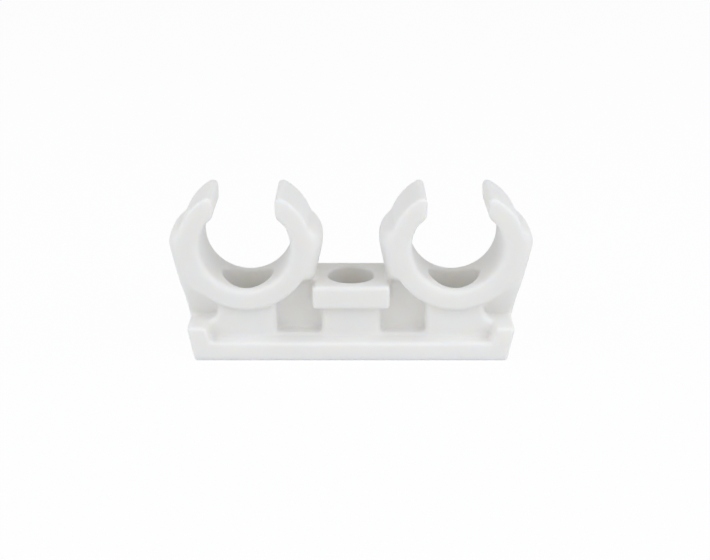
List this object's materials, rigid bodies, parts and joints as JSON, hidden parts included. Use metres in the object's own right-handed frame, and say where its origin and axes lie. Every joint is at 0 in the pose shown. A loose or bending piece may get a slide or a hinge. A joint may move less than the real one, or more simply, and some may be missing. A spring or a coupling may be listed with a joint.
{
  "type": "double pipe clip",
  "caption": "Moulded plastic clip with open spring rings side by side on a flat base, which snaps over parallel pipes and is screwed to a wall.",
  "frame": {"origin": "middle of the flat underside, which lies on the wall", "axes": "+X along the clip from ring to ring, +Y along the pipes, +Z away from the wall"},
  "size_m": [0.081, 0.02, 0.0375],
  "materials": {
    "plastic": "satin"
  },
  "bodies": {
    "root": {"double_pipe_clip": "plastic"}
  },
  "joints": []
}
